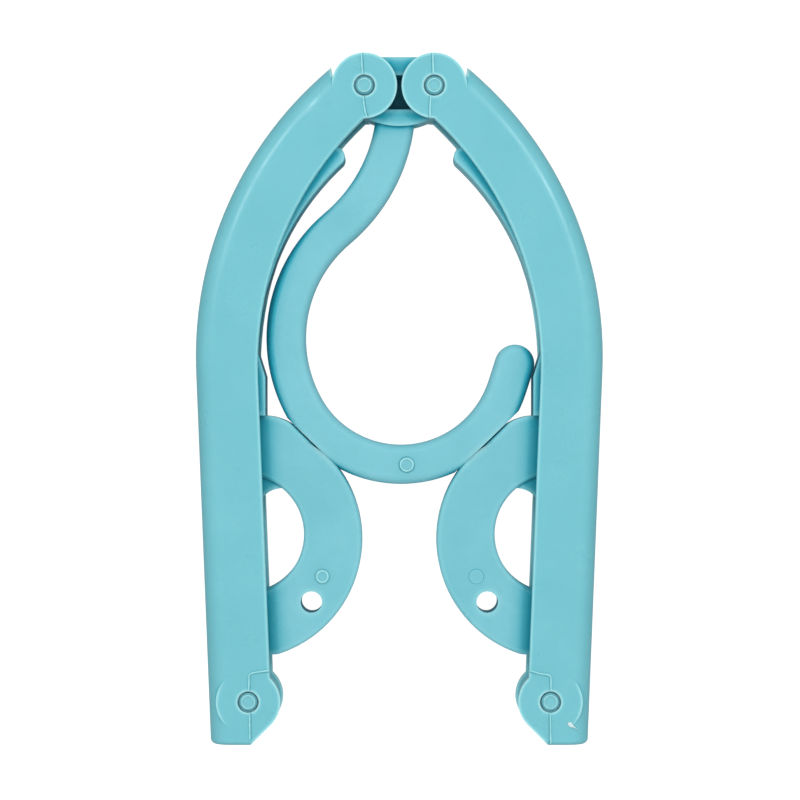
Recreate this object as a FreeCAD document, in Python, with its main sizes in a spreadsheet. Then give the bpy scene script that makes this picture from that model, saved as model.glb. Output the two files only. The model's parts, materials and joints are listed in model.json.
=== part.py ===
"""Folding travel clothes hanger, folded flat.

A hook and pivot block moulded in one, two curved channel arms hinged to the block, and a folding
bar with a D-shaped loop hinged in the lower end of each arm. Four hinge pins join them.

The hanger lies on its back: X across, Y from the arms' lower ends up to the pivot block, Z from
the back face to the front face. Outlines are drawn with Y = 0 at the arms' lower ends, and each
node's Placement then puts the origin under the middle of the bounding box.
"""
import FreeCAD, Part
import math
import os

import Sketcher

DIMS = [
    # name, value in mm or degrees, meaning
    ("depth", 14.0, "arm channel, back face to front face"),
    ("cheek", 1.7, "thickness of each side wall of an arm"),
    ("spine_wall", 1.8, "thickness of the curved outer wall of an arm"),
    ("spine_round", 4.0, "rounding along both edges of the spine"),
    ("end_round", 1.1, "rounding of the square lower end"),
    ("rim_round", 0.3, "rounding of the cheeks' free edges"),
    ("upper_pivot_x", 7.0, "upper hinge pin, from the centre line"),
    ("upper_pivot_y", 132.1, "upper hinge pins, above the lower end"),
    ("lower_pivot_x", 30.25, "lower hinge pin, from the centre line"),
    ("lower_pivot_y", 8.7, "lower hinge pins, above the lower end"),
    ("upper_hub", 6.55, "radius of the arm's upper hub"),
    ("lower_hub", 6.45, "radius of the arm's lower hub"),
    ("bulge_x", 41.0, "widest point of the spine, from the centre line"),
    ("bulge_y", 78.0, "height of the widest point"),
    ("spine_radius", 75.4, "curve of the spine"),
    ("mouth_x", 28.35, "widest point of the channel mouth"),
    ("mouth_y", 76.0, "height of the mouth's widest point"),
    ("mouth_radius", 68.0, "curve of the channel mouth"),
    ("taper", 2.3, "slope of the straight lower part, degrees"),
    ("open_angle", 100.0, "swing of an arm from folded to its stop, degrees"),
    ("stop_gap", 0.1, "clearance at the arm's stop"),
    ("pin_radius", 1.8, "hinge pins"),
    ("pin_chamfer", 0.4, "lead-in on the pin ends"),
    ("pin_inset", 0.15, "pin end below the cheek's face"),
    ("running", 0.06, "radial clearance of a pin in a cheek"),
    ("seat", 0.02, "radial clearance of a pin in its own body"),
    ("sink_radius", 2.15, "radius of the shallow sink round each pin"),
    ("sink_deep", 1.1, "depth of that sink"),
    ("side_gap", 0.1, "play of the block and of the bars' hubs between the cheeks"),
    ("block_radius", 5.85, "pivot block's ears round the upper pins"),
    ("block_low", 7.9, "lowest point of the block below the upper pins"),
    ("block_curve", 14.4, "curve of the block's lower edge"),
    ("window_low", 4.6, "window's lower edge below the upper pins"),
    ("window_high", 2.2, "window's upper edge above the upper pins"),
    ("window_half", 3.3, "half width of the window"),
    ("window_floor", 4.2, "thickness of the web behind the window"),
    ("low_recess", 0.8, "set-back of the block's faces below the window"),
    ("hook_width", 7.9, "width of the hook's band"),
    ("hook_depth", 7.2, "thickness of the hook's band"),
    ("hook_round", 1.7, "rounding of the hook's edges"),
    ("flat_x", 16.5, "middle of the flats where hook and loops lie together"),
    ("flat_y", 59.6, "height of that middle"),
    ("flat_slope", 44.0, "slope of the flats, degrees"),
    ("flat_half", 11.5, "half length of the cut that makes a flat"),
    ("flat_reach", 5.0, "width of the cut that makes a flat"),
    ("flat_gap", 0.22, "gap between the flats"),
    ("flat_top_x", 21.7, "upper end of the loop's flat, from the centre line"),
    ("bar_depth", 7.2, "thickness of a folding bar"),
    ("bar_hub", 5.85, "radius of a bar's hub"),
    ("bar_play", 0.45, "gap between a bar's back and the spine"),
    ("bar_round", 0.7, "rounding of the loop's edges"),
    ("rib_round", 0.35, "rounding of the blade's free edges"),
    ("back_end", 122.5, "height where the bar's back ends"),
    ("nose_x", 12.95, "centre of the rounded nose of the blade"),
    ("nose_y", 118.0, "height of that centre"),
    ("nose_radius", 2.0, "rounding of the nose"),
    ("blade_x", -24.5, "centre of the blade's inner curve"),
    ("blade_y", 78.0, "height of that centre"),
    ("blade_end", 97.0, "height where the inner curve ends"),
    ("waist_x", 28.7, "bar's inner edge where it lies inside the channel"),
    ("waist_high", 85.0, "upper end of that stretch"),
    ("waist_low", 79.5, "lower end of that stretch"),
    ("shoulder_x", 26.9, "bar's inner edge above the loop"),
    ("shoulder_high", 73.8, "upper end of that stretch"),
    ("shoulder_low", 66.0, "lower end of that stretch"),
    ("crown_rise", 0.35, "bulge of the short curve from the shoulder to the loop's flat"),
    ("loop_x", 31.7, "centre of the loop's outer curve"),
    ("loop_y", 41.0, "height of that centre"),
    ("loop_radius", 24.2, "loop's outer curve"),
    ("root_y", 17.55, "foot of the loop, which rests on the arm's end when unfolded"),
    ("root_rise", 0.4, "height gained along that foot"),
    ("eye_x", 31.1, "centre of the loop's opening"),
    ("eye_y", 42.1, "height of that centre"),
    ("eye_radius", 11.9, "curve of the loop's opening"),
    ("eye_flat", 30.4, "straight side of the opening"),
    ("web_depth", 5.6, "thickness of the thin web over the opening"),
    ("web_root", 0.6, "depth that the thin web is let into the loop"),
    ("web_start", 51.3, "height where the web's lower edge leaves the loop"),
    ("web_x", 23.45, "centre of the web's curved lower edge"),
    ("web_y", 45.85, "height of that centre"),
    ("web_end", 26.0, "direction from that centre to the edge's hidden end, degrees"),
    ("cord_hole", 2.15, "radius of the small hole in a loop"),
    ("cord_hole_x", 17.7, "that hole, from the centre line"),
    ("cord_hole_y", 28.45, "height of that hole"),
    ("mark_radius", 1.4, "ejector marks, which stand proud of the front faces"),
    ("mark_height", 0.12, "height of those marks"),
    ("hook_mark_x", 1.5, "mark on the hook, from the centre line"),
    ("hook_mark_y", 56.1, "height of that mark"),
    ("loop_mark_x", 15.5, "mark on a loop, from the centre line"),
    ("loop_mark_y", 33.6, "height of that mark"),
]

doc = FreeCAD.newDocument("travel_hanger")
sheet = doc.addObject("Spreadsheet::Sheet", "dims")
for row, (name, value, meaning) in enumerate(DIMS, start=1):
    sheet.set(f"A{row}", name)
    sheet.set(f"B{row}", str(value))
    sheet.set(f"C{row}", meaning)
    sheet.setAlias(f"B{row}", name)
doc.recompute()
d = {name: float(sheet.get(name)) for name, _, _ in DIMS}

SIDES = (("left", -1), ("right", 1))
MIDDLE = d["depth"] / 2.0
UPPER = (d["upper_pivot_x"], d["upper_pivot_y"])
LOWER = (d["lower_pivot_x"], d["lower_pivot_y"])
SPINE = (d["bulge_x"] - d["spine_radius"], d["bulge_y"])
MOUTH = (d["mouth_x"] - d["mouth_radius"], d["mouth_y"])
LOOP = (d["loop_x"], d["loop_y"])
EYE = (d["eye_x"], d["eye_y"])
WEB = (d["web_x"], d["web_y"])
FLAT = (d["flat_x"], d["flat_y"])
SLOPE = (math.cos(math.radians(d["flat_slope"])), math.sin(math.radians(d["flat_slope"])))
TAPER = (-math.sin(math.radians(d["taper"])), -math.cos(math.radians(d["taper"])))
CLEAR = 8.6  # past the hubs in every direction, for cuts that leave the part


# --- geometry helpers -----------------------------------------------------------------------

def vec(x, y, z=0.0):
    return FreeCAD.Vector(x, y, z)


def polar(centre, radius, degrees):
    """Point on a circle, the angle measured from +X towards +Y."""
    angle = math.radians(degrees)
    return (centre[0] + radius * math.cos(angle), centre[1] + radius * math.sin(angle))


def angle_of(centre, point):
    """Direction of a point from a centre, from 0 to 360 degrees."""
    return math.degrees(math.atan2(point[1] - centre[1], point[0] - centre[0])) % 360.0


def at_height(centre, radius, height):
    """Point on the +X half of a circle at a given height."""
    return (centre[0] + math.sqrt(radius ** 2 - (height - centre[1]) ** 2), height)


def at_offset(centre, radius, x, half):
    """Point on the upper (half 1) or lower (half -1) half of a circle at a given x."""
    return (x, centre[1] + half * math.sqrt(radius ** 2 - (x - centre[0]) ** 2))


def move(point, direction, distance):
    return (point[0] + distance * direction[0], point[1] + distance * direction[1])


def arc(centre, radius, first, last):
    """An arc run, as start, middle and end points, between two angles in degrees."""
    return [polar(centre, radius, a) for a in (first, (first + last) / 2.0, last)]


def arc_through(centre, start, end, turn):
    """An arc run from start to end, counterclockwise (turn 1) or clockwise (turn -1)."""
    first = angle_of(centre, start)
    sweep = turn * ((turn * (angle_of(centre, end) - first)) % 360.0)
    return arc(centre, math.dist(centre, start), first, first + sweep)


def line_meets_circle(point, direction, centre, radius):
    """The crossing ahead of point, along a unit direction, of a line and a circle."""
    dx, dy = point[0] - centre[0], point[1] - centre[1]
    b = dx * direction[0] + dy * direction[1]
    c = dx * dx + dy * dy - radius * radius
    return move(point, direction, -b + math.sqrt(b * b - c))


def mirrored(run):
    """The same run on the other side of the centre line, in the opposite order."""
    return [(-x, y) for x, y in reversed(run)]


# --- document helpers -----------------------------------------------------------------------

def new_body(label):
    body = doc.addObject("PartDesign::Body", label)
    body.Label = label
    return body


def new_sketch(body, name, height=0.0):
    """Sketch parallel to the body's XY plane, at a height above it."""
    sketch = body.newObject("Sketcher::SketchObject", name)
    plane = [f for f in body.Origin.OriginFeatures if f.Role == "XY_Plane"][0]
    sketch.AttachmentSupport = [(plane, "")]
    sketch.MapMode = "FlatFace"
    sketch.AttachmentOffset = FreeCAD.Placement(vec(0, 0, height), FreeCAD.Rotation())
    return sketch


def add_outline(sketch, runs, side=1):
    """Closed outline from runs: a run of 3 points is an arc, of 2 a line; gaps close with lines."""
    points = [[vec(side * x, y) for x, y in run] for run in runs]
    for run, following in zip(points, points[1:] + points[:1]):
        if len(run) == 3:
            sketch.addGeometry(Part.Arc(run[0], run[1], run[2]))
        else:
            sketch.addGeometry(Part.LineSegment(run[0], run[1]))
        if run[-1].distanceToPoint(following[0]) > 1e-6:
            sketch.addGeometry(Part.LineSegment(run[-1], following[0]))


def add_circle(sketch, x, y, radius):
    """Circle whose radius is bound to the sheet; radius is an expression of its cells."""
    index = sketch.addGeometry(Part.Circle(vec(x, y), vec(0, 0, 1), 1.0))
    sketch.addConstraint(Sketcher.Constraint("Radius", index, 1.0))
    sketch.renameConstraint(0, "radius")
    sketch.setExpression("Constraints.radius", radius)


def pad(body, sketch, length):
    """Pad upwards from the sketch; length is an expression of the sheet's cells."""
    feature = body.newObject("PartDesign::Pad", f"{sketch.Name}_pad")
    feature.Profile = sketch
    feature.setExpression("Length", length)
    doc.recompute()


def pocket(body, sketch, length):
    """Pocket upwards from the sketch, checked to remove material."""
    before = body.Shape.Volume
    feature = body.newObject("PartDesign::Pocket", f"{sketch.Name}_pocket")
    feature.Profile = sketch
    feature.Reversed = True
    feature.setExpression("Length", length)
    doc.recompute()
    if body.Shape.Volume > before - 1e-3:
        raise RuntimeError(f"{sketch.Name} cuts nothing")


def disc(body, name, place, radius, height, length):
    sketch = new_sketch(body, name, height)
    add_circle(sketch, place[0], place[1], radius)
    pad(body, sketch, length)


def hole(body, name, place, radius, height, length):
    sketch = new_sketch(body, name, height)
    add_circle(sketch, place[0], place[1], radius)
    pocket(body, sketch, length)


def fillet(body, name, chosen, radius):
    """Fillet of those edges of the tip that the test chooses; radius names a cell of the sheet."""
    base = body.Tip
    edges = [f"Edge{i}" for i, edge in enumerate(base.Shape.Edges, start=1) if chosen(edge)]
    feature = body.newObject("PartDesign::Fillet", name)
    feature.Base = (base, edges)
    feature.setExpression("Radius", f"dims.{radius}")
    doc.recompute()
    if not body.Shape.isValid():
        raise RuntimeError(f"{name} is not valid")


def lies_at(edge, *heights):
    """True for an edge that lies in a plane at one of the heights."""
    box = edge.BoundBox
    return any(abs(box.ZMin - z) < 1e-4 and abs(box.ZMax - z) < 1e-4 for z in heights)


def middle_of(edge):
    """Point halfway along an edge, on the +X side."""
    point = edge.valueAt((edge.FirstParameter + edge.LastParameter) / 2.0)
    return (abs(point.x), point.y)


def curve_radius(edge):
    """Radius of a round edge, and 0 for a straight one."""
    return getattr(edge.Curve, "Radius", 0.0)


# --- arms -----------------------------------------------------------------------------------

# The spine's upper end is cut on a plane that lies flat on the block once the arm is open.
STOP_NORMAL = polar((0.0, 0.0), 1.0, 90.0 - d["open_angle"])
STOP_UPWARD = (-STOP_NORMAL[1], STOP_NORMAL[0])
STOP_FOOT = move(UPPER, STOP_NORMAL, d["block_radius"] + d["stop_gap"])


def taper_down(start, height):
    """Follow the taper down from a point to a height."""
    return move(start, TAPER, (height - start[1]) / TAPER[1])


def spine_runs(inset, end_height):
    """The spine's straight and curve, moved inwards by inset, from end_height up to the stop."""
    radius = d["spine_radius"] - inset
    corner = line_meets_circle(STOP_FOOT, STOP_UPWARD, SPINE, radius)
    bend = polar(SPINE, radius, -d["taper"])
    return [[taper_down(bend, end_height), bend], arc_through(SPINE, bend, corner, 1)]


def arm_outline():
    """Side wall of an arm, without its hub discs."""
    mouth_top = at_offset(MOUTH, d["mouth_radius"], UPPER[0], 1)
    mouth_bend = polar(MOUTH, d["mouth_radius"], -d["taper"])
    corner_top = polar(LOWER, d["lower_hub"], 225.0)
    corner_foot = (corner_top[0] + corner_top[1], 0.0)
    return spine_runs(0.0, 0.0) + [
        [STOP_FOOT, UPPER],
        arc_through(MOUTH, mouth_top, mouth_bend, -1),
        [mouth_bend, taper_down(mouth_bend, LOWER[1])],
        [LOWER, corner_top],
        [corner_top, corner_foot],
    ]


def arm_hollow():
    """Space between the side walls, open along the mouth; its outer sides lie past the arm."""
    wall = d["spine_wall"]
    above = move(STOP_FOOT, STOP_UPWARD, CLEAR)
    left = UPPER[0] - CLEAR
    end_wall_tip = (LOWER[0] + 0.2, wall)
    return spine_runs(wall, wall) + [
        [above, (left, above[1])],
        [(left, -CLEAR), (end_wall_tip[0], -CLEAR)],
        [end_wall_tip, taper_down(polar(SPINE, d["spine_radius"] - wall, -d["taper"]), wall)],
    ]


def make_arm(label, side):
    body = new_body(label)
    outline = new_sketch(body, f"{label}_outline")
    add_outline(outline, arm_outline(), side)
    pad(body, outline, "dims.depth")

    def on_spine(edge):
        return lies_at(edge, 0.0, d["depth"]) and (
            abs(curve_radius(edge) - d["spine_radius"]) < 1e-3
            or middle_of(edge)[0] > LOWER[0] + d["lower_hub"] and middle_of(edge)[1] > 1.0)

    def on_end(edge):
        return lies_at(edge, 0.0, d["depth"]) and middle_of(edge)[1] < 1e-4

    fillet(body, f"{label}_spine_round", on_spine, "spine_round")
    def on_mouth(edge):
        x, y = middle_of(edge)
        return lies_at(edge, 0.0, d["depth"]) and UPPER[0] < x < LOWER[0] - 1.0 and LOWER[1] < y < (
            UPPER[1] - d["upper_hub"])

    fillet(body, f"{label}_end_round", on_end, "end_round")
    fillet(body, f"{label}_rim_round", on_mouth, "rim_round")

    places = (("upper", (side * UPPER[0], UPPER[1])), ("lower", (side * LOWER[0], LOWER[1])))
    for hub, place in places:
        disc(body, f"{label}_{hub}_hub", place, f"dims.{hub}_hub", 0.0, "dims.depth")

    hollow = new_sketch(body, f"{label}_hollow", d["cheek"])
    add_outline(hollow, arm_hollow(), side)
    pocket(body, hollow, "dims.depth - 2 * dims.cheek")

    for hub, place in places:
        hole(body, f"{label}_{hub}_hole", place, "dims.pin_radius + dims.running", 0.0, "dims.depth")
        for face, height in (("back", 0.0), ("front", d["depth"] - d["sink_deep"])):
            name = f"{label}_{hub}_{face}_sink"
            hole(body, name, place, "dims.sink_radius", height, "dims.sink_deep")
    return body


# --- hook and pivot block -------------------------------------------------------------------

# The hook's middle line: its start, its heading, and runs of length (or radius) and turn.
HOOK_START = (-0.8, 126.0)
HOOK_HEADING = -95.8
HOOK_RUNS = [
    (33.3, -44.2),
    (29.0, 80.0),
    (21.6, 20.8),
    (22.6, 111.4),
    (4.8, 0.0),
]


def walk(place, heading, size, turn):
    """Place and heading at the far end of a straight of length size, or an arc of radius size."""
    if turn == 0.0:
        return polar(place, size, heading), heading
    lean = math.copysign(90.0, turn)
    centre = polar(place, size, heading + lean)
    return polar(centre, size, heading + turn - lean), heading + turn


def hook_outline():
    """Both edges of the band and its round tip."""
    half = d["hook_width"] / 2.0
    place, heading = HOOK_START, HOOK_HEADING
    right_hand, left_hand = [], []
    for size, turn in HOOK_RUNS:
        stations = [(place, heading)]
        if turn:
            stations.append(walk(place, heading, size, turn / 2.0))
        place, heading = walk(place, heading, size, turn)
        stations.append((place, heading))
        right_hand.append([polar(p, half, h - 90.0) for p, h in stations])
        left_hand.append([polar(p, half, h + 90.0) for p, h in reversed(stations)])
    return right_hand + [arc(place, half, heading - 90.0, heading + 90.0)] + left_hand[::-1]


def flat_line(gap):
    """Ends of the right-hand flat, moved by gap away from the hook."""
    middle = move(FLAT, (SLOPE[1], -SLOPE[0]), gap)
    return [move(middle, SLOPE, -d["flat_half"]), move(middle, SLOPE, d["flat_half"])]


def block_outline():
    """Ears round both upper pins, a straight top and a curved lower edge."""
    ear, curve = d["block_radius"], d["block_curve"]
    centre = (0.0, UPPER[1] - d["block_low"] + curve)
    span = math.dist(centre, UPPER)
    spread = math.acos((span ** 2 + curve ** 2 - ear ** 2) / (2.0 * span * curve))
    corner = polar(centre, curve, angle_of(centre, UPPER) - math.degrees(spread))
    right_ear = arc_through(UPPER, corner, (UPPER[0], UPPER[1] + ear), 1)
    left_ear = mirrored(right_ear)
    return [right_ear, left_ear, arc_through(centre, left_ear[-1], corner, 1)]


def make_hook():
    body = new_body("hook")
    low, high = MIDDLE - d["hook_depth"] / 2.0, MIDDLE + d["hook_depth"] / 2.0
    band = new_sketch(body, "hook_band", low)
    add_outline(band, hook_outline())
    pad(body, band, "dims.hook_depth")

    def along_band(edge):
        return lies_at(edge, low, high) and edge.BoundBox.YMin < UPPER[1] - d["block_low"]

    fillet(body, "hook_round", along_band, "hook_round")
    for name, side in SIDES:
        flat = new_sketch(body, f"hook_{name}_flat", low)
        add_outline(flat, [flat_line(0.0), flat_line(d["flat_reach"])[::-1]], side)
        pocket(body, flat, "dims.hook_depth")
    disc(body, "hook_mark", (d["hook_mark_x"], d["hook_mark_y"]), "dims.mark_radius",
         MIDDLE, "dims.hook_depth / 2 + dims.mark_height")

    back = d["cheek"] + d["side_gap"]
    block = new_sketch(body, "block_outline", back)
    add_outline(block, block_outline())
    pad(body, block, "dims.depth - 2 * dims.cheek - 2 * dims.side_gap")

    window = new_sketch(body, "block_window", back + d["window_floor"])
    half = d["window_half"]
    low_y, high_y = UPPER[1] - d["window_low"], UPPER[1] + d["window_high"]
    add_outline(window, [[(-half, low_y), (half, low_y)], [(half, high_y), (-half, high_y)]])
    pocket(body, window, "dims.depth")

    end = 2.0 * UPPER[0]
    below = UPPER[1] - d["block_low"] - CLEAR
    for face, height in (("back", back), ("front", d["depth"] - back - d["low_recess"])):
        recess = new_sketch(body, f"block_{face}_recess", height)
        add_outline(recess, [[(-end, below), (end, below)], [(end, low_y), (-end, low_y)]])
        pocket(body, recess, "dims.low_recess")

    for name, side in SIDES:
        hole(body, f"block_{name}_hole", (side * UPPER[0], UPPER[1]),
             "dims.pin_radius + dims.seat", 0.0, "dims.depth")
    return body


# --- folding bars ---------------------------------------------------------------------------

def bar_back():
    """The bar's back, from the hub up along the spine's inner side."""
    radius = d["spine_radius"] - d["spine_wall"] - d["bar_play"]
    bend = polar(SPINE, radius, -d["taper"])
    top = at_height(SPINE, radius, d["back_end"])
    return [[polar(LOWER, d["bar_hub"], -d["taper"]), bend], arc_through(SPINE, bend, top, 1)]


def bar_blade():
    """The nose and the inner edge down to the shoulder above the loop."""
    centre = (d["blade_x"], d["blade_y"])
    nose = arc((d["nose_x"], d["nose_y"]), d["nose_radius"], 110.0, 215.0)
    blade_end = at_height(centre, math.dist(centre, nose[-1]), d["blade_end"])
    return [
        nose,
        arc_through(centre, nose[-1], blade_end, -1),
        [(d["waist_x"], d["waist_high"]), (d["waist_x"], d["waist_low"])],
        [(d["shoulder_x"], d["shoulder_high"]), (d["shoulder_x"], d["shoulder_low"])],
    ]


def rib_outline():
    """The thicker part of the bar that fills the channel, from the shoulder up to the nose."""
    straight, curve = bar_back()
    return [[taper_down(straight[-1], d["shoulder_low"]), straight[-1]], curve] + bar_blade()


def bar_loop():
    """The crown, the flat that meets the hook, and the outer curve in two arcs down to the foot."""
    low, high = flat_line(d["flat_gap"])
    flat_high = move(low, SLOPE, (d["flat_top_x"] - low[0]) / SLOPE[0])
    flat_low = line_meets_circle(flat_high, (-SLOPE[0], -SLOPE[1]), LOOP, d["loop_radius"])
    foot_y = d["root_y"] + d["root_rise"]
    foot = (2.0 * LOOP[0] - at_height(LOOP, d["loop_radius"], foot_y)[0], foot_y)
    halfway = arc_through(LOOP, flat_low, foot, 1)[1]
    shoulder = (d["shoulder_x"], d["shoulder_low"])
    chord = math.dist(shoulder, flat_high)
    outward = ((flat_high[1] - shoulder[1]) / chord, (shoulder[0] - flat_high[0]) / chord)
    middle = ((shoulder[0] + flat_high[0]) / 2.0, (shoulder[1] + flat_high[1]) / 2.0)
    return [
        [shoulder, move(middle, outward, d["crown_rise"]), flat_high],
        [flat_high, flat_low],
        arc_through(LOOP, flat_low, halfway, 1),
        arc_through(LOOP, halfway, foot, 1),
        [foot, (LOWER[0], d["root_y"])],
    ]


def make_bar(label, side):
    body = new_body(label)
    low, high = MIDDLE - d["bar_depth"] / 2.0, MIDDLE + d["bar_depth"] / 2.0
    outline = new_sketch(body, f"{label}_outline", low)
    hub = arc(LOWER, d["bar_hub"], 90.0, 360.0 - d["taper"])
    add_outline(outline, bar_back() + bar_blade() + bar_loop() + [hub], side)
    pad(body, outline, "dims.bar_depth")

    opening = new_sketch(body, f"{label}_opening", low)
    eye_high = at_offset(EYE, d["eye_radius"], d["eye_flat"], 1)
    eye_low = at_offset(EYE, d["eye_radius"], d["eye_flat"], -1)
    add_outline(opening, [arc_through(EYE, eye_high, eye_low, 1)], side)
    pocket(body, opening, "dims.bar_depth")

    def on_loop(edge):
        x, y = middle_of(edge)
        on_eye = abs(curve_radius(edge) - d["eye_radius"]) < 1e-3
        on_outside = d["root_y"] + d["root_rise"] < y < d["shoulder_low"] and x < d["flat_top_x"]
        return lies_at(edge, low, high) and (on_eye or on_outside)

    fillet(body, f"{label}_round", on_loop, "bar_round")

    back = d["cheek"] + d["side_gap"]
    rib = new_sketch(body, f"{label}_rib", back)
    add_outline(rib, rib_outline(), side)
    pad(body, rib, "dims.depth - 2 * dims.cheek - 2 * dims.side_gap")

    def on_blade(edge):
        x, y = middle_of(edge)
        return lies_at(edge, back, d["depth"] - back) and x < d["waist_x"] + d["rib_round"] and (
            y > d["shoulder_low"] + d["rib_round"])

    fillet(body, f"{label}_blade_round", on_blade, "rib_round")

    web = new_sketch(body, f"{label}_web", MIDDLE - d["web_depth"] / 2.0)
    rim = d["eye_radius"] + d["web_root"]
    web_top = (EYE[0], EYE[1] + rim)
    web_low = (2.0 * EYE[0] - at_height(EYE, rim, d["web_start"])[0], d["web_start"])
    web_end = polar(WEB, math.dist(WEB, web_low), d["web_end"])
    edges = [arc_through(EYE, web_top, web_low, 1), arc_through(WEB, web_low, web_end, -1)]
    add_outline(web, edges, side)
    pad(body, web, "dims.web_depth")
    disc(body, f"{label}_hub", (side * LOWER[0], LOWER[1]), "dims.bar_hub",
         back, "dims.depth - 2 * dims.cheek - 2 * dims.side_gap")

    hole(body, f"{label}_cord_hole", (side * d["cord_hole_x"], d["cord_hole_y"]),
         "dims.cord_hole", low, "dims.bar_depth")
    hole(body, f"{label}_pin_hole", (side * LOWER[0], LOWER[1]),
         "dims.pin_radius + dims.seat", 0.0, "dims.depth")
    disc(body, f"{label}_mark", (side * d["loop_mark_x"], d["loop_mark_y"]),
         "dims.mark_radius", MIDDLE, "dims.bar_depth / 2 + dims.mark_height")
    return body


# --- hinge pins -----------------------------------------------------------------------------

def make_pin(label, x, y):
    shank = doc.addObject("Part::Cylinder", f"{label}_shank")
    shank.setExpression("Radius", "dims.pin_radius")
    shank.setExpression("Height", "dims.depth - 2 * dims.pin_inset")
    shank.setExpression("Placement.Base.z", "dims.pin_inset")
    doc.recompute()
    rims = [i for i, edge in enumerate(shank.Shape.Edges, start=1) if curve_radius(edge)]
    pin = doc.addObject("Part::Chamfer", label)
    pin.Label = label
    pin.Base = shank
    pin.Edges = [(i, d["pin_chamfer"], d["pin_chamfer"]) for i in rims]
    pin.Placement.Base = vec(x, y)
    return pin


# --- assembly and export --------------------------------------------------------------------

def settle(node):
    """Move a finished node so that the origin is under the middle of the bounding box."""
    top = d["upper_pivot_y"] + d["upper_hub"]
    node.Placement.Base += vec(0.0, -top / 2.0)


def export(nodes):
    """Check every object and write each node's STEP file."""
    doc.recompute()
    for item in doc.Objects:
        if "Invalid" in item.State or "Error" in item.State:
            raise RuntimeError(f"{item.Label} did not compute: {item.State}")
    os.makedirs("parts", exist_ok=True)
    for node in nodes:
        shape = node.Shape
        if shape.isNull() or not shape.isValid() or len(shape.Solids) != 1:
            raise RuntimeError(f"{node.Label} is not one valid solid")
        shape.exportStep(f"parts/{node.Label}.step")
        print(f"{node.Label}: {shape.Volume:.1f} mm3")


def main():
    nodes = [make_hook()]
    for name, side in SIDES:
        nodes.append(make_arm(f"arm_{name}", side))
        nodes.append(make_bar(f"loop_bar_{name}", side))
        nodes.append(make_pin(f"upper_pin_{name}", side * UPPER[0], UPPER[1]))
        nodes.append(make_pin(f"lower_pin_{name}", side * LOWER[0], LOWER[1]))
    for node in nodes:
        settle(node)
    export(nodes)


main()
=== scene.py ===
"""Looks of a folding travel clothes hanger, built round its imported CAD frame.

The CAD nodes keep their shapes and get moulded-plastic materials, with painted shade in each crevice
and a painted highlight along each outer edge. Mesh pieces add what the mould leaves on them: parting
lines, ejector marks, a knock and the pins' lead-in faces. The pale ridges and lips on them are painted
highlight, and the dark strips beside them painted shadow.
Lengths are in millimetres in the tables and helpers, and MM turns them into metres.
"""

import json
import math

import bmesh
import bpy
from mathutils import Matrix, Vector


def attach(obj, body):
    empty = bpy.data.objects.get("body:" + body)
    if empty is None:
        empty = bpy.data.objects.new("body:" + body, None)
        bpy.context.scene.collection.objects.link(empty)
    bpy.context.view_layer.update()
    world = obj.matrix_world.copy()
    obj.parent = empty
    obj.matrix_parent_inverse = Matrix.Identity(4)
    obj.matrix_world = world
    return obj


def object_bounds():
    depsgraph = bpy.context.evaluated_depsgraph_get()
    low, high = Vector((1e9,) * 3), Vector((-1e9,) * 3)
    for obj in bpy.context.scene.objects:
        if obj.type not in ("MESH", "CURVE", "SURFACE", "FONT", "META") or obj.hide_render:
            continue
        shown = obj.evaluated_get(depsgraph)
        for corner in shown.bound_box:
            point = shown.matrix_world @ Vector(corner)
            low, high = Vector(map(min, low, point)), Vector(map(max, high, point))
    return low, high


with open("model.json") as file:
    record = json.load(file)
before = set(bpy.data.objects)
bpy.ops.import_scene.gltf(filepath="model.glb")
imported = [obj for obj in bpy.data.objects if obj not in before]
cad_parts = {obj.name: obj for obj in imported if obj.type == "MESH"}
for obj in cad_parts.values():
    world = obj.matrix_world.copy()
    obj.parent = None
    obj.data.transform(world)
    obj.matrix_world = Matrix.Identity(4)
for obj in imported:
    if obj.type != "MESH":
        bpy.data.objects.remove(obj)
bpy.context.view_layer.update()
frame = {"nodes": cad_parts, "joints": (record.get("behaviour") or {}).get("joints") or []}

MM = 0.001


# --- places taken from the frame --------------------------------------------------------------

LOW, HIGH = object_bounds()
CENTRE = (LOW + HIGH) / 2.0
FRONT_FACE = HIGH.z / MM
BACK_FACE = LOW.z / MM
BAND_HALF = 3.6                     # half the thickness of the hook and of the loops
BAND_FACE = CENTRE.z / MM + BAND_HALF


def pivot(joint_name):
    """A joint's axis in the plane of the hanger, in millimetres."""
    joint = [j for j in frame["joints"] if j["name"] == joint_name][0]
    return Vector((joint["pos_m"][0], joint["pos_m"][1])) / MM


UPPER = {side: pivot(f"arm_{side}_fold") for side in ("left", "right")}
LOWER = {side: pivot(f"loop_bar_{side}_fold") for side in ("left", "right")}


# --- materials --------------------------------------------------------------------------------

def srgb(red, green, blue):
    """Linear colour from 8-bit display values."""
    def linear(value):
        share = value / 255.0
        return share / 12.92 if share <= 0.04045 else ((share + 0.055) / 1.055) ** 2.4
    return (linear(red), linear(green), linear(blue), 1.0)


# Painted shade: tint of a surface by its openness to the sky, within a reach.
PAINTED_SHADE_REACH = 5.0
PAINTED_SHADE_RAMP = (
    (0.48, (0.0, 0.48, 0.58, 1.0)),
    (0.74, (0.03, 0.72, 0.79, 1.0)),
    (0.92, (1.0, 1.0, 1.0, 1.0)),
)
# The painted shade fades in between these heights, as the table would light the plastic below them.
PAINTED_SHADE_FADE = (3.0, 6.5)             # heights between which the tint grows from none to full

# Painted highlight: openness of the plastic under an edge at which it starts to pale, and is palest.
HIGHLIGHT_START = 0.95
HIGHLIGHT_FULL = 0.65
HIGHLIGHT_COLOUR = srgb(172, 236, 241)

OCCLUSION_SAMPLES = 8
NOISE_MIDDLE = (0.3, 0.7)           # the part of a noise's range that holds nearly all of it

# Sockets of a Mix node in colour mode.
MIX_SHARE, MIX_FIRST, MIX_SECOND = 0, 6, 7
MIX_RESULT = 2


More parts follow.
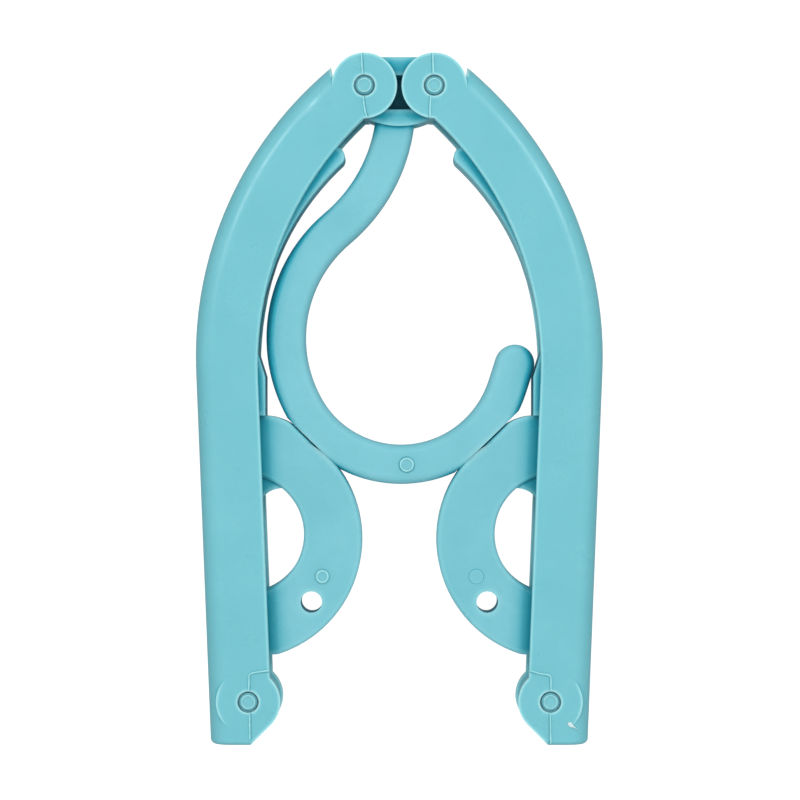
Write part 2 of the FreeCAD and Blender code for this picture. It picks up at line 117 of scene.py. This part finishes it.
class Nodes:
    """Short way to place and link shader nodes in one material."""

    def __init__(self, name):
        self.material = bpy.data.materials.new(name)
        self.material.use_nodes = True
        self.tree = self.material.node_tree
        self.shader = self.tree.nodes["Principled BSDF"]
        coordinates = self.tree.nodes.new("ShaderNodeTexCoord")
        self.place = coordinates.outputs["Object"]

    def add(self, kind, **inputs):
        """New node; an underscore in an input's name stands for a space."""
        node = self.tree.nodes.new(kind)
        for name, value in inputs.items():
            self.put(node, name.replace("_", " "), value)
        return node

    def put(self, node, name, value):
        """Link or set one input of a node, by its name or number."""
        if isinstance(value, bpy.types.NodeSocket):
            self.tree.links.new(value, node.inputs[name])
        else:
            node.inputs[name].default_value = value

    def noise(self, size_mm, detail=2.0, roughness=0.5):
        """Noise whose features are about size_mm across, from 0 to 1."""
        return self.add("ShaderNodeTexNoise", Vector=self.place, Scale=1.0 / (size_mm * MM),
                        Detail=detail, Roughness=roughness).outputs["Fac"]

    def mix(self, share, first, second, blend="MIX"):
        """Colour between first and second, or first times second."""
        node = self.tree.nodes.new("ShaderNodeMix")
        node.data_type = "RGBA"
        node.blend_type = blend
        self.put(node, MIX_SHARE, share)
        self.put(node, MIX_FIRST, first)
        self.put(node, MIX_SECOND, second)
        return node.outputs[MIX_RESULT]

    def between(self, value, start, end, low=0.0, high=1.0):
        """Straight-line map of a value from start..end to low..high, held at both ends."""
        return self.add("ShaderNodeMapRange", Value=value, From_Min=start, From_Max=end,
                        To_Min=low, To_Max=high).outputs["Result"]

    def vary(self, noise, low=0.0, high=1.0):
        """Spread the middle of a noise over low to high."""
        return self.between(noise, *NOISE_MIDDLE, low, high)

    def ramp(self, value, stops):
        """Colour along a list of (position, colour) stops."""
        node = self.add("ShaderNodeValToRGB", Fac=value)
        elements = node.color_ramp.elements
        while len(elements) < len(stops):
            elements.new(0.5)
        for element, (position, colour) in zip(elements, stops):
            element.position = position
            element.color = colour
        return node.outputs["Color"]

    def occlusion(self, reach_mm, inside=False):
        """Openness of the surface, or of its own plastic under it, from 0 to 1 within reach_mm."""
        node = self.add("ShaderNodeAmbientOcclusion", Distance=reach_mm * MM)
        node.samples = OCCLUSION_SAMPLES
        node.inside = inside
        node.only_local = inside
        return node.outputs["AO"]

    def painted_crevice_shade(self, colour):
        """Painted shade: deepen a colour where walls hide the sky, except low down, where the table
        lights it.
        """
        shade = self.ramp(self.occlusion(PAINTED_SHADE_REACH), PAINTED_SHADE_RAMP)
        height = self.add("ShaderNodeSeparateXYZ", Vector=self.place).outputs["Z"]
        start, end = PAINTED_SHADE_FADE
        share = self.between(height, start * MM, end * MM)
        return self.mix(share, colour, shade, "MULTIPLY")

    def edges(self, colour, reach_mm, most):
        """Painted highlight: lighten a colour along each outer edge."""
        under = self.occlusion(reach_mm, inside=True)
        return self.mix(self.between(under, HIGHLIGHT_START, HIGHLIGHT_FULL, 0.0, most), colour, HIGHLIGHT_COLOUR)

    def bump(self, height, distance_mm, strength=1.0):
        """Normal of a surface that a height lifts by up to distance_mm."""
        return self.add("ShaderNodeBump", Height=height, Distance=distance_mm * MM,
                        Strength=strength)


CLOUD_SIZE = 14.0
CLOUD_WAVE = 0.05
CLOUD_STRENGTH = 0.3
MOTTLE_SIZE = 2.0
MOTTLE_MOST = 0.4
SPECKLE_MOST = 0.55
SHEEN_SIZE = 6.0                    # patches that are shinier or duller than the rest
SHEEN_SPREAD = 0.06
POLYPROPYLENE = {
    "IOR": 1.49,
    "Subsurface Weight": 0.3,
    "Subsurface Radius": (0.5, 1.0, 1.1),
    "Subsurface Scale": 0.002,
}


def moulded_plastic(name, light, dark, roughness, gloss, grain, edge, painted_crevice_shade=True):
    """Coloured polypropylene: cloudy pigment, mould grain, painted shade in each crevice and a painted
    highlight along each outer edge.

    grain is the size and depth of the mould texture, edge the reach and share of the painted edge
    highlight.
    """
    m = Nodes(name)
    grain_size, grain_depth = grain
    cloud = m.noise(CLOUD_SIZE, detail=3.0)
    relief = m.noise(grain_size, detail=4.0, roughness=0.65)
    tint = m.mix(m.vary(cloud), light, dark)
    mottled = m.mix(m.vary(m.noise(MOTTLE_SIZE, detail=3.0), 0.0, MOTTLE_MOST), tint, dark)
    speckled = m.mix(m.vary(relief, 0.0, SPECKLE_MOST), mottled, dark)
    # Painted shade, deepest in each crevice.
    shaded = m.painted_crevice_shade(speckled) if painted_crevice_shade else speckled
    # Painted highlight along each outer edge.
    m.put(m.shader, "Base Color", m.edges(shaded, *edge))
    sheen = m.vary(m.noise(SHEEN_SIZE, detail=4.0), roughness - SHEEN_SPREAD, roughness + SHEEN_SPREAD)
    m.put(m.shader, "Roughness", sheen)
    wave = m.bump(cloud, CLOUD_WAVE, CLOUD_STRENGTH)
    texture = m.bump(relief, grain_depth)
    m.put(texture, "Normal", wave.outputs["Normal"])
    m.put(m.shader, "Normal", texture.outputs["Normal"])
    m.put(m.shader, "Specular IOR Level", gloss)
    for socket, value in POLYPROPYLENE.items():
        m.put(m.shader, socket, value)
    return m.material


def thin_plastic(name, patch_size, light, dark, roughness, grain):
    """Plastic of a detail too thin for a wall's depth, in patches of two colours."""
    m = Nodes(name)
    grain_size, grain_depth = grain
    m.put(m.shader, "Base Color", m.mix(m.vary(m.noise(patch_size)), light, dark))
    m.put(m.shader, "Roughness", roughness)
    m.put(m.shader, "Normal", m.bump(m.noise(grain_size), grain_depth).outputs["Normal"])
    return m.material


def white_card():
    """Card that shines white by itself, whatever the light on it."""
    m = Nodes("white_card")
    m.put(m.shader, "Base Color", (0.15, 0.15, 0.15, 1.0))
    m.put(m.shader, "Roughness", 0.9)
    m.put(m.shader, "Emission Color", (1.0, 1.0, 1.0, 1.0))
    m.put(m.shader, "Emission Strength", 1.0)
    return m.material


# Mould grain as (size, depth), and painted edge highlights as (reach, share).
SATIN = (0.5, 0.006)
GRAINED = (0.32, 0.05)
SHARP_EDGE_HIGHLIGHT = (0.7, 0.9)
ROUND_EDGE_HIGHLIGHT = (1.3, 0.35)
PIN_EDGE_HIGHLIGHT = (0.2, 0.9)

PLASTICS = {
    "arm": moulded_plastic("satin_arm_plastic", srgb(126, 206, 218), srgb(114, 198, 210),
                           roughness=0.32, gloss=0.5, grain=SATIN, edge=SHARP_EDGE_HIGHLIGHT),
    "hook": moulded_plastic("grained_hook_plastic", srgb(140, 210, 223), srgb(122, 199, 212),
                            roughness=0.5, gloss=0.3, grain=GRAINED, edge=ROUND_EDGE_HIGHLIGHT),
    "bar": moulded_plastic("grained_bar_plastic", srgb(138, 209, 222), srgb(120, 198, 211),
                           roughness=0.5, gloss=0.3, grain=GRAINED, edge=ROUND_EDGE_HIGHLIGHT),
    "pin": moulded_plastic("pin_plastic", srgb(130, 207, 218), srgb(120, 200, 212),
                           roughness=0.35, gloss=0.4, grain=SATIN, edge=PIN_EDGE_HIGHLIGHT, painted_crevice_shade=False),
}
# White stress marks; a dark strip of painted shadow beside parting lines and round ejector marks; and
# pale flash, paler than the walls, as a painted highlight on ridges and lips.
WHITENED = thin_plastic("whitened_plastic", 0.5, srgb(225, 243, 243), srgb(180, 225, 230),
                        roughness=0.6, grain=(0.2, 0.03))
PAINTED_SHADOW = thin_plastic("painted_shadow_plastic", 1.5, srgb(100, 186, 198), srgb(60, 155, 170),
                    roughness=0.6, grain=(0.3, 0.01))
PAINTED_HIGHLIGHT = thin_plastic("painted_highlight_plastic", 1.2, srgb(172, 238, 243), srgb(148, 222, 229),
                     roughness=0.45, grain=(0.3, 0.02))

NODE_PLASTIC = {
    "hook": "hook",
    "arm_left": "arm",
    "arm_right": "arm",
    "loop_bar_left": "bar",
    "loop_bar_right": "bar",
    "upper_pin_left": "pin",
    "upper_pin_right": "pin",
    "lower_pin_left": "pin",
    "lower_pin_right": "pin",
}


def dress_nodes():
    """Give every CAD node its plastic."""
    for name, node in frame["nodes"].items():
        node.data.materials.clear()
        node.data.materials.append(PLASTICS[NODE_PLASTIC[name]])


# --- mesh helpers -------------------------------------------------------------------------------

def make_piece(name, build, material, body, smooth=True):
    """Mesh piece filled by build(bm), in millimetres, that rides on a body."""
    bm = bmesh.new()
    build(bm)
    bmesh.ops.scale(bm, vec=Vector((MM, MM, MM)), verts=bm.verts)
    bmesh.ops.recalc_face_normals(bm, faces=bm.faces)
    mesh = bpy.data.meshes.new(name)
    bm.to_mesh(mesh)
    bm.free()
    mesh.materials.append(material)
    for polygon in mesh.polygons:
        polygon.use_smooth = smooth
    piece = bpy.data.objects.new(name, mesh)
    bpy.context.scene.collection.objects.link(piece)
    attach(piece, body)


def bridge(bm, rings, closed=False):
    """Skin between rings of vertices; an open row of rings gets end caps."""
    pairs = list(zip(rings, rings[1:]))
    if closed:
        pairs.append((rings[-1], rings[0]))
    for first, second in pairs:
        for index in range(len(first)):
            after = (index + 1) % len(first)
            bm.faces.new((first[index], first[after], second[after], second[index]))
    if not closed:
        bm.faces.new(rings[0])
        bm.faces.new(reversed(rings[-1]))


def add_ridge(bm, path, profile, face, outward):
    """Sweep a profile of (sideways, height) points along a path that lies on a flat face."""
    rings = []
    for index, here in enumerate(path):
        before = path[max(index - 1, 0)]
        after = path[min(index + 1, len(path) - 1)]
        along = (after - before).normalized()
        across = Vector((-along.y, along.x))
        ring = []
        for sideways, height in profile:
            spot = here + across * sideways
            ring.append(bm.verts.new((spot.x, spot.y, face + outward * height)))
        rings.append(ring)
    bridge(bm, rings)


def add_ridges(bm, paths, profile, face, outward):
    """The same ridge along several paths."""
    for path in paths:
        add_ridge(bm, path, profile, face, outward)


TURNS = 48


def add_lathe(bm, centre, profile, face, closed=False):
    """Turn a profile of (radius, height) points about an upright axis; an open one gets end caps."""
    rings = []
    for radius, height in profile:
        ring = []
        for turn in range(TURNS):
            angle = math.tau * turn / TURNS
            ring.append(bm.verts.new((centre.x + radius * math.cos(angle),
                                      centre.y + radius * math.sin(angle), face + height)))
        rings.append(ring)
    bridge(bm, rings, closed)


def rounded(points, steps=3):
    """Cut the corners of a path so that it runs smoothly (Chaikin's rule)."""
    path = [Vector(point) for point in points]
    for _ in range(steps):
        finer = [path[0]]
        for start, end in zip(path, path[1:]):
            finer.append(start.lerp(end, 0.25))
            finer.append(start.lerp(end, 0.75))
        path = finer + [path[-1]]
    return path


# --- mesh pieces --------------------------------------------------------------------------------

# Parting lines on the hubs, from each pivot, where the mould's side cores meet its two halves.
UPPER_LINES = {
    "left": ([(-0.6, 6.5), (-0.5, 4.6), (-0.35, 2.25)],
             [(-0.2, -2.2), (-0.05, -4.4), (0.5, -6.4)]),
    "right": ([(-0.3, 6.4), (-0.25, 4.6), (-0.2, 2.25)],
              [(-0.7, -2.1), (-0.85, -4.4), (-0.86, -6.4)]),
}
LOWER_LINES = {
    "left": ([(4.1, 6.3), (2.2, 6.05), (0.2, 5.75), (0.17, 4.4), (0.15, 2.25)],
             [(0.29, -2.25), (0.33, -4.8), (0.35, -7.5)]),
    "right": ([(-4.1, 6.3), (-2.0, 5.65), (-0.5, 5.5), (0.09, 5.2), (0.09, 4.0), (0.09, 2.25)],
              [(-0.05, -2.25), (0.0, -5.0), (0.05, -8.3)]),
}
FRONT_RIDGE_RISE = 0.12
BACK_RIDGE_RISE = 0.02
RIDGE_FOOT = 0.2
RIDGE_CREST = 0.12
# Width and height of the flat strip that carries the painted shadow.
STEP_REACH = 0.36
STEP_RISE = 0.015
BURIED = -0.05


def ridge_profile(rise):
    """Cross-section of a flash ridge."""
    return [(-RIDGE_FOOT, BURIED), (-RIDGE_CREST, rise), (RIDGE_CREST, rise), (RIDGE_FOOT, BURIED)]


def step_profile(sign):
    """Cross-section of the thin strip of painted shadow beside a ridge, on the side that the sign
    gives.
    """
    near = sign * RIDGE_FOOT
    far = sign * STEP_REACH
    return [(near, BURIED), (near, STEP_RISE), (far, STEP_RISE), (far, BURIED)]


def make_parting_lines():
    """Flash ridges coloured as a painted highlight, with a thin strip of painted shadow on the side
    towards the middle of the hanger.
    """
    faces = (("front", FRONT_FACE, 1.0, FRONT_RIDGE_RISE), ("back", BACK_FACE, -1.0, BACK_RIDGE_RISE))
    for place, pivots, lines in (("upper", UPPER, UPPER_LINES), ("lower", LOWER, LOWER_LINES)):
        for side, pair in lines.items():
            body = f"arm_{side}"
            step = step_profile(1.0 if side == "left" else -1.0)
            paths = [[pivots[side] + point for point in rounded(points)] for points in pair]
            for face_name, face, outward, rise in faces:
                name = f"{place}_parting_line_{side}_{face_name}"
                ridge = ridge_profile(rise)
                # The flash ridge is coloured as a painted highlight.
                make_piece(name, lambda bm: add_ridges(bm, paths, ridge, face, outward),
                           PAINTED_HIGHLIGHT, body)
                # A thin flat strip beside the ridge, coloured as painted shadow.
                make_piece(f"{name}_step", lambda bm: add_ridges(bm, paths, step, face, outward),
                           PAINTED_SHADOW, body, smooth=False)


PIN_END = FRONT_FACE - 0.15
PIN_FACE = [(0.8, 0.05), (1.08, 0.04), (1.18, 0.15), (1.32, 0.16), (1.43, 0.04), (1.45, -1.2)]
PIN_LIP = [(1.16, 0.0), (1.2, 0.19), (1.4, 0.19), (1.44, 0.0)]
FACET_LIFT = 0.32
FACET_CREASE = -0.6
FACET_SLOPE = 0.42


def cut_facet(bm, centre):
    """Slope a pin's face down to the left of a crease, as a trunnion's lead-in."""
    crease = centre.x + FACET_CREASE
    everything = bm.verts[:] + bm.edges[:] + bm.faces[:]
    bmesh.ops.bisect_plane(bm, geom=everything, plane_co=(crease, 0.0, 0.0), plane_no=(1.0, 0.0, 0.0))
    for vert in bm.verts:
        beyond = crease - vert.co.x
        if beyond > 0.0 and vert.co.z > PIN_END:
            vert.co.z -= FACET_SLOPE * beyond


def make_pin_faces():
    """Dished ends with a raised lip coloured as a painted highlight; the upper left pin also has a
    sloping lead-in.
    """
    parts = (("face", PIN_FACE, False, PLASTICS["pin"]), ("lip", PIN_LIP, True, PAINTED_HIGHLIGHT))
    for place, pivots in (("upper", UPPER), ("lower", LOWER)):
        for side, centre in pivots.items():
            faceted = (place, side) == ("upper", "left")
            end = PIN_END + FACET_LIFT if faceted else PIN_END

            def build(bm, profile, closed):
                add_lathe(bm, centre, profile, end, closed)
                if faceted:
                    cut_facet(bm, centre)

            body = "hook" if place == "upper" else f"loop_bar_{side}"
            for part, profile, closed, material in parts:
                make_piece(f"{place}_pin_{part}_{side}", lambda bm: build(bm, profile, closed),
                           material, body)


# Ring profiles of an ejector mark, from the radius of its hollow outwards: a lip coloured as a painted
# highlight, and a flat ring coloured as painted shadow.
MARK_LIP = [(0.0, -0.05), (0.04, 0.16), (0.36, 0.16), (0.42, -0.05)]
MARK_SHADOW_RING = [(0.42, -0.05), (0.42, 0.02), (0.6, 0.02), (0.6, -0.05)]
HOOK_MARK = Vector((1.5, UPPER["left"].y - 76.0))
HOOK_MARK_HOLLOW = 1.05
BAR_MARK = Vector((-15.5, LOWER["left"].y + 24.9))
BAR_MARK_HOLLOW = 0.9


def make_ejector_marks():
    """Lips round the marks that the ejector pins left on the hook and on the left bar, coloured as a
    painted highlight, with a flat ring of painted shadow round each.
    """
    marks = (
        ("hook_ejector_mark", HOOK_MARK, HOOK_MARK_HOLLOW, "hook", "hook_plastic"),
        ("bar_ejector_mark", BAR_MARK, BAR_MARK_HOLLOW, "loop_bar_left", "bar_plastic"),
    )
    for name, centre, hollow, body, slot in marks:
        for part, profile, material in (("lip", MARK_LIP, PAINTED_HIGHLIGHT), ("shadow_ring", MARK_SHADOW_RING, PAINTED_SHADOW)):
            ring = [(hollow + beyond, height) for beyond, height in profile]
            make_piece(f"{name}_{part}", lambda bm: add_lathe(bm, centre, ring, BAND_FACE, closed=True),
                       material, body)


# The knock's line from the lower right pivot, and its half width at each point.
SCAR_PATH = [(3.4, -4.3), (4.0, -4.5), (4.6, -4.9), (5.3, -5.4)]
SCAR_WIDTHS = (0.35, 0.6, 0.2, 0.08)
SCAR_ACROSS = Vector((0.3, 1.0))
SCAR_FLAT = 0.6                     # share of the half width that is level on top
SCAR_CREST = 0.2                    # height as a share of the half width
SCAR_FOOT = -0.02


def make_scar():
    """Knock on the right arm beside the lower hub: a whitened lump with a short tail."""
    def build(bm):
        rings = []
        for point, width in zip(SCAR_PATH, SCAR_WIDTHS):
            middle = LOWER["right"] + Vector(point)
            crest = SCAR_CREST * width
            ring = []
            for sideways, height in ((-1.0, SCAR_FOOT), (-SCAR_FLAT, crest),
                                     (SCAR_FLAT, crest), (1.0, SCAR_FOOT)):
                spot = middle + SCAR_ACROSS * sideways * width
                ring.append(bm.verts.new((spot.x, spot.y, FRONT_FACE + height)))
            rings.append(ring)
        bridge(bm, rings)
    make_piece("right_arm_scar", build, WHITENED, "arm_right")


# --- stage, light and camera (in metres) ----------------------------------------------------------

FLOOR_HALF = 1.5
FLOOR_GAP = 0.01 * MM


def make_floor():
    """White card under the hanger, seen by the camera only, so that it casts no light on it."""
    mesh = bpy.data.meshes.new("floor")
    corners = [(x * FLOOR_HALF, y * FLOOR_HALF, 0.0) for x, y in ((-1, -1), (1, -1), (1, 1), (-1, 1))]
    mesh.from_pydata(corners, [], [(0, 1, 2, 3)])
    mesh.materials.append(white_card())
    floor = bpy.data.objects.new("floor", mesh)
    floor.location.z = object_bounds()[0].z - FLOOR_GAP
    bpy.context.scene.collection.objects.link(floor)
    for rays in ("diffuse", "glossy", "transmission", "shadow"):
        setattr(floor, f"visible_{rays}", False)


# Strength of the tent's light by the height of its direction, from -1 below to 1 overhead.
TENT_LEVELS = ((-0.3, 0.33), (0.05, 0.41), (0.65, 0.82))


def make_tent():
    """World light of a white tent, brightest overhead and dimmer towards and below the table."""
    world = bpy.data.worlds.new("tent")
    world.use_nodes = True
    nodes, links = world.node_tree.nodes, world.node_tree.links
    background = nodes["Background"]
    split = nodes.new("ShaderNodeSeparateXYZ")
    links.new(nodes.new("ShaderNodeTexCoord").outputs["Generated"], split.inputs["Vector"])
    level = nodes.new("ShaderNodeValToRGB")
    level.color_ramp.elements.new(0.5)
    for element, (height, strength) in zip(level.color_ramp.elements, TENT_LEVELS):
        element.position = (height + 1.0) / 2.0
        element.color = (strength, strength, strength, 1.0)
    lift = nodes.new("ShaderNodeMapRange")
    lift.inputs["From Min"].default_value = -1.0
    links.new(split.outputs["Z"], lift.inputs["Value"])
    links.new(lift.outputs["Result"], level.inputs["Fac"])
    links.new(level.outputs["Color"], background.inputs["Color"])
    background.inputs["Strength"].default_value = 1.0
    bpy.context.scene.world = world


BOX_ASIDE = 0.45
BOX_FORWARD = 0.34
BOX_UP = 0.75
BOX_SIZE = 0.12
BOX_WATTS = 1.4


def make_side_boxes():
    """A small soft box high on each side, which glances off the arms' shoulders."""
    for side, sign in (("left", -1.0), ("right", 1.0)):
        place = Vector((sign * BOX_ASIDE, BOX_FORWARD, BOX_UP))
        light = bpy.data.lights.new(f"{side}_box", "AREA")
        light.shape = "SQUARE"
        light.size = BOX_SIZE
        light.energy = BOX_WATTS
        holder = bpy.data.objects.new(f"{side}_box", light)
        holder.location = CENTRE + place
        holder.rotation_euler = (-place).to_track_quat("-Z", "Y").to_euler()
        bpy.context.scene.collection.objects.link(holder)


CAMERA_DISTANCE = 0.545
FRAME_WIDTH = 0.16
SENSOR_MM = 36.0
CAMERA_X = 0.14 * MM
CAMERA_Y = -0.20 * MM


def make_camera():
    """Straight above the hanger, with the pivot block at the top of the picture."""
    camera = bpy.data.cameras.new("camera")
    camera.sensor_width = SENSOR_MM
    camera.lens = SENSOR_MM * CAMERA_DISTANCE / FRAME_WIDTH
    seat = bpy.data.objects.new("camera", camera)
    seat.location = (CAMERA_X, CAMERA_Y, HIGH.z + CAMERA_DISTANCE)
    bpy.context.scene.collection.objects.link(seat)
    bpy.context.scene.camera = seat


dress_nodes()
make_parting_lines()
make_pin_faces()
make_ejector_marks()
make_scar()
make_floor()
make_side_boxes()
make_tent()
make_camera()
bpy.context.scene.view_settings.view_transform = "Standard"
